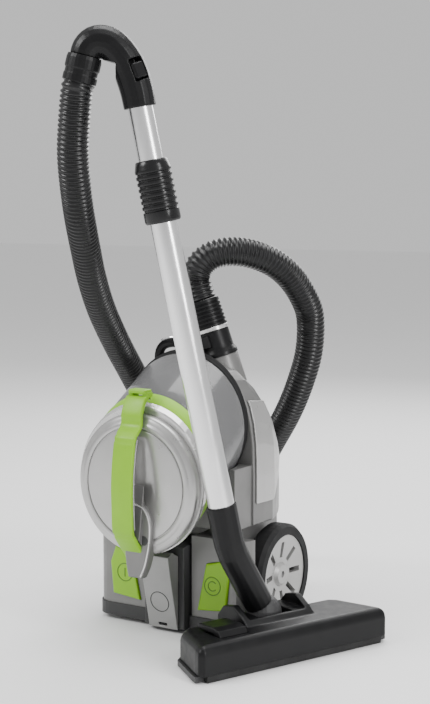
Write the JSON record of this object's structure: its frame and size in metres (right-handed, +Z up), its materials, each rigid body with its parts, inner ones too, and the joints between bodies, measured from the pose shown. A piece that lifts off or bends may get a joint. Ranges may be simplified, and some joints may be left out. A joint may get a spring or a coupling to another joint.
{
  "type": "canister vacuum cleaner",
  "caption": "Bagless canister vacuum cleaner with a wheeled body, tilted transparent dust cup, corrugated hose, telescopic wand and floor head.",
  "frame": {"origin": "centre of the bounding box of everything but the hose, on the floor", "axes": "+Z up; the canister's front, its dust cup's lid, faces -Y and its right side +X"},
  "size_m": [0.448, 0.5536, 0.7457],
  "materials": {
    "base_tub": "satin moulded",
    "brush_strip": "matt",
    "bumper_band": "moulded",
    "carry_handle": "fine grain",
    "caster_fork": "satin moulded",
    "caster_roller": "matt",
    "connector_button": "fine grain",
    "connector_ring": "silver paint",
    "cord_reel": "moulded",
    "cup_cradle": "satin moulded",
    "cup_gasket": "matt",
    "cup_rear_plate": "moulded",
    "cup_rim": "silver paint",
    "cup_ring": "satin",
    "cup_shell": "smoky transparent plastic",
    "cyclone_cone": "moulded",
    "elbow": "fine grain",
    "exhaust_filter": "felt",
    "exhaust_grille": "moulded",
    "front_lid": "silver paint",
    "grip_cuff": "fine grain",
    "grip_handle": "fine grain",
    "handle_trim": "polished",
    "head_housing": "fine grain",
    "head_pedal": "fine grain",
    "head_roller": "matt",
    "hose": "matt",
    "hose_connector": "fine grain",
    "inlet_collar": "satin moulded",
    "lid_hinge_pin": "polished",
    "lid_seal": "matt",
    "lid_tongue": "satin moulded",
    "lower_tube": "polished",
    "mesh_shroud": "satin moulded",
    "motor": "plain",
    "motor_fan": "plain",
    "motor_mount": "matt",
    "neck_ball": "moulded",
    "nose_cover": "silver paint",
    "nose_housing": "moulded",
    "premotor_filter": "felt",
    "rear_axle": "plain",
    "reel_spindle": "satin moulded",
    "release_button": "satin",
    "rewind_pedal": "satin",
    "side_panel_left": "silver paint",
    "side_panel_right": "silver paint",
    "sole_plate": "fine grain",
    "strap_handle": "satin",
    "strap_liner": "silver paint",
    "suction_slider": "fine grain",
    "switch_pedal": "satin",
    "telescopic_clamp": "fine grain",
    "tyre_left": "matt",
    "tyre_right": "matt",
    "upper_casing": "satin moulded",
    "upper_tube": "polished",
    "wheel_hub_left": "silver grey",
    "wheel_hub_right": "silver grey"
  },
  "bodies": {
    "root": {"base_tub": "base_tub", "bumper_band": "bumper_band", "nose_cover": "nose_cover", "nose_housing": "nose_housing", "rear_axle": "rear_axle", "upper_casing": "upper_casing", "side_panel_left": "side_panel_left", "side_panel_right": "side_panel_right", "cup_gasket": "cup_gasket", "premotor_filter": "premotor_filter", "motor": "motor", "motor_mount": "motor_mount", "exhaust_filter": "exhaust_filter", "exhaust_grille": "exhaust_grille", "reel_spindle": "reel_spindle", "carry_handle": "carry_handle", "handle_trim": "handle_trim", "cup_cradle": "cup_cradle", "inlet_collar": "inlet_collar", "hose": "hose", "lower_tube": "lower_tube", "elbow": "elbow"},
    "caster": {"caster_fork": "caster_fork"},
    "caster_wheel": {"caster_roller": "caster_roller"},
    "left_wheel": {"tyre_left": "tyre_left", "wheel_hub_left": "wheel_hub_left"},
    "right_wheel": {"tyre_right": "tyre_right", "wheel_hub_right": "wheel_hub_right"},
    "switch_pedal_body": {"switch_pedal": "switch_pedal"},
    "rewind_pedal_body": {"rewind_pedal": "rewind_pedal"},
    "fan": {"motor_fan": "motor_fan"},
    "reel": {"cord_reel": "cord_reel"},
    "dust_cup": {"cup_shell": "cup_shell", "cup_ring": "cup_ring", "cup_rim": "cup_rim", "lid_hinge_pin": "lid_hinge_pin", "cyclone_cone": "cyclone_cone", "mesh_shroud": "mesh_shroud", "cup_rear_plate": "cup_rear_plate"},
    "lid": {"front_lid": "front_lid", "lid_seal": "lid_seal", "lid_tongue": "lid_tongue", "strap_handle": "strap_handle", "strap_liner": "strap_liner"},
    "lid_button": {"release_button": "release_button"},
    "connector": {"hose_connector": "hose_connector", "connector_ring": "connector_ring"},
    "connector_latch": {"connector_button": "connector_button"},
    "upper_wand": {"upper_tube": "upper_tube", "grip_handle": "grip_handle"},
    "clamp": {"telescopic_clamp": "telescopic_clamp"},
    "slider": {"suction_slider": "suction_slider"},
    "cuff": {"grip_cuff": "grip_cuff"},
    "neck": {"neck_ball": "neck_ball"},
    "head": {"head_housing": "head_housing", "sole_plate": "sole_plate"},
    "brush": {"brush_strip": "brush_strip"},
    "pedal": {"head_pedal": "head_pedal"},
    "roller": {"head_roller": "head_roller"}
  },
  "joints": [
    {"name": "left_wheel_spin", "type": "hinge", "parent": "root", "child": "left_wheel", "pos_m": [-0.175, 0.0766, 0.066], "axis": [1, 0, 0], "continuous": true},
    {"name": "right_wheel_spin", "type": "hinge", "parent": "root", "child": "right_wheel", "pos_m": [0.032, 0.0766, 0.066], "axis": [1, 0, 0], "continuous": true},
    {"name": "caster_swivel", "type": "hinge", "parent": "root", "child": "caster", "pos_m": [-0.0715, -0.0044, 0.03], "axis": [0, 0, 1], "continuous": true},
    {"name": "caster_roll", "type": "hinge", "parent": "caster", "child": "caster_wheel", "pos_m": [-0.0715, 0.0026, 0.0125], "axis": [1, 0, 0], "continuous": true},
    {"name": "switch_pedal_press", "type": "slide", "parent": "root", "child": "switch_pedal_body", "axis": [0, 1, 0], "range_m": [0, 0.004], "stiffness_N_per_m": 300},
    {"name": "rewind_pedal_press", "type": "slide", "parent": "root", "child": "rewind_pedal_body", "axis": [0, 1, 0], "range_m": [0, 0.004], "stiffness_N_per_m": 300},
    {"name": "fan_spin", "type": "hinge", "parent": "root", "child": "fan", "pos_m": [-0.0715, 0.0746, 0.2], "axis": [0, 1, 0], "continuous": true},
    {"name": "reel_spin", "type": "hinge", "parent": "root", "child": "reel", "pos_m": [-0.0715, 0.1016, 0.078], "axis": [0, 0, 1], "continuous": true},
    {"name": "cup_lift", "type": "slide", "parent": "root", "child": "dust_cup", "axis": [0, -0.8, 0.6], "range_m": [0, 0.04]},
    {"name": "lid_hinge", "type": "hinge", "parent": "dust_cup", "child": "lid", "pos_m": [-0.0715, -0.0775, 0.30512], "axis": [-1, 0, 0], "range_deg": [0, 70]},
    {"name": "release_button_press", "type": "slide", "parent": "lid", "child": "lid_button", "axis": [0, 0, -1], "range_m": [0, 0.002], "stiffness_N_per_m": 200},
    {"name": "connector_swivel", "type": "hinge", "parent": "root", "child": "connector", "pos_m": [-0.0474, 0.05394, 0.36547], "axis": [-0.2966, -0.1054, 0.9492], "continuous": true},
    {"name": "connector_button_press", "type": "slide", "parent": "connector", "child": "connector_latch", "axis": [0, 0.9939, 0.1103], "range_m": [0, 0.001], "stiffness_N_per_m": 400},
    {"name": "wand_telescope", "type": "slide", "parent": "root", "child": "upper_wand", "axis": [-0.1507, -0.1288, 0.9802], "range_m": [0, 0.2], "deforming": ["hose"]},
    {"name": "clamp_release", "type": "slide", "parent": "root", "child": "clamp", "axis": [0.1507, 0.1288, -0.9802], "range_m": [0, 0.006], "stiffness_N_per_m": 400},
    {"name": "suction_slide", "type": "slide", "parent": "upper_wand", "child": "slider", "axis": [-0.2933, -0.2162, 0.9312], "range_m": [-0.002, 0.005]},
    {"name": "grip_cuff_swivel", "type": "hinge", "parent": "upper_wand", "child": "cuff", "pos_m": [-0.07966, -0.18002, 0.70076], "axis": [-0.218, -0.102, -0.9706], "continuous": true},
    {"name": "neck_swivel", "type": "hinge", "parent": "root", "child": "neck", "pos_m": [0.0716, -0.0265, 0.046], "axis": [-0.1682, -0.4926, 0.8539], "range_deg": [-15, 8]},
    {"name": "head_tilt", "type": "hinge", "parent": "neck", "child": "head", "pos_m": [0.0716, -0.0265, 0.046], "axis": [0.3746, 0.9272, 0], "range_deg": [-8, 18]},
    {"name": "head_pedal_rock", "type": "hinge", "parent": "head", "child": "pedal", "pos_m": [0.05757, -0.10927, 0.046], "axis": [0.3746, 0.9272, 0], "range_deg": [0, 8]},
    {"name": "brush_slide", "type": "slide", "parent": "head", "child": "brush", "axis": [0, 0, 1], "range_m": [0, 0.004]},
    {"name": "head_roller_spin", "type": "hinge", "parent": "head", "child": "roller", "pos_m": [0.07531, -0.028, 0.0065], "axis": [0.3746, 0.9272, 0], "continuous": true}
  ],
  "couplings": [
    {"joint": "brush_slide", "follows": "head_pedal_rock", "m_per_rad": 0.0286}
  ]
}
